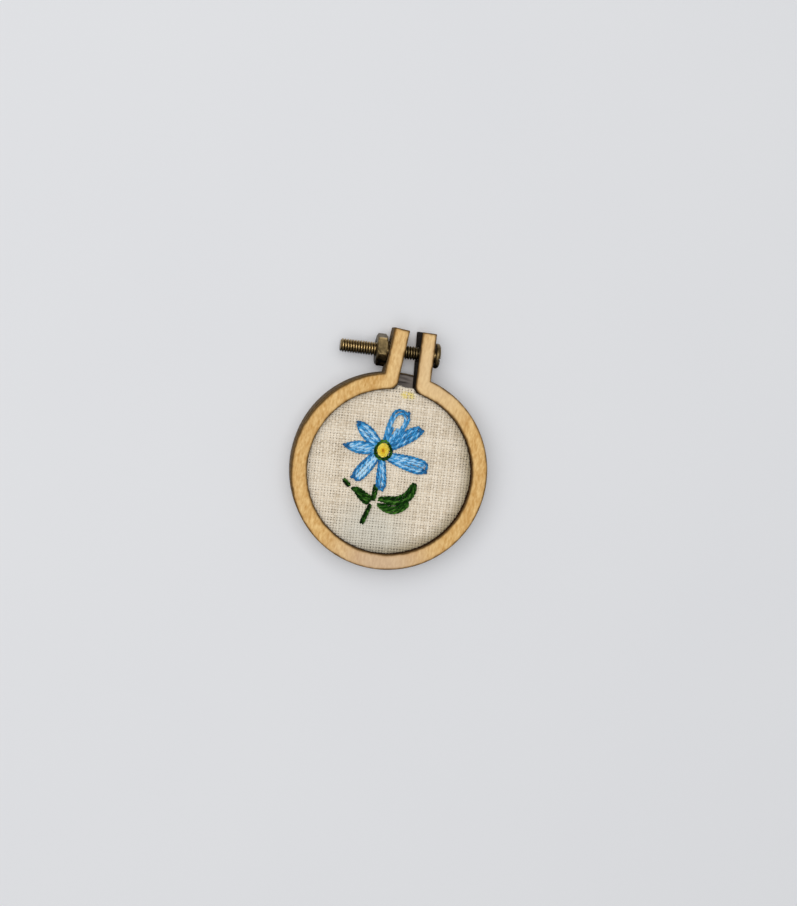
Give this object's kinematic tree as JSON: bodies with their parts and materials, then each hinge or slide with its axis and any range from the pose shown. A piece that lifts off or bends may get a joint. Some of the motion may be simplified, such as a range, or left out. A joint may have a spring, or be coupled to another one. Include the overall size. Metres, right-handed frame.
{
  "type": "hoop embroidery art with its wooden hoop",
  "caption": "Miniature embroidery of a blue flower with green leaves on stretched cotton, held in a round wooden hoop with two ears, a clamp screw and a nut.",
  "frame": {"origin": "centre of the hoop on the underside of the back plate, the surface that the part lies on", "axes": "+Z out of the stitched face, +Y from the hoop's centre to the gap between the ears, +X along the screw towards its head"},
  "size_m": [0.03, 0.0367, 0.0058],
  "materials": {
    "hoop_wood": "pale sanded board, edges charred by the laser",
    "plate_wood": "pale sanded board",
    "cotton": "unbleached plain-weave cotton",
    "blue_thread": "twisted cotton thread, light and mid blue",
    "green_thread": "twisted cotton thread, dark green",
    "yellow_thread": "twisted cotton thread, yellow",
    "antique_brass": "darkened brass, worn bright on its edges"
  },
  "bodies": {
    "hoop": {"hoop_ring": "hoop_wood", "back_plate": "plate_wood", "insert_board": "plate_wood", "cloth": "cotton", "petal_1": "blue_thread", "petal_2": "blue_thread", "petal_3": "blue_thread", "petal_4": "blue_thread", "petal_5": "blue_thread", "petal_6": "blue_thread", "petal_7": "blue_thread", "flower_outline": "green_thread", "flower_middle": "yellow_thread", "stem_upper": "green_thread", "stem_lower": "green_thread", "leaf_left_tip": "green_thread", "leaf_left": "green_thread", "leaf_right": "green_thread"},
    "screw": {"screw": "antique_brass"},
    "nut": {"nut": "antique_brass"}
  },
  "joints": [
    {"name": "nut_run", "type": "slide", "parent": "hoop", "child": "nut", "axis": [-0.9962, -0.0872, 0], "range_m": [0, 0.0048]},
    {"name": "screw_turn", "type": "hinge", "parent": "hoop", "child": "screw", "pos_m": [0, 0.0182, 0.0033], "axis": [0.9962, 0.0872, 0], "range_deg": [0, 4320]}
  ],
  "couplings": [
    {"joint": "screw_turn", "follows": "nut_run", "rad_per_m": 15708}
  ]
}
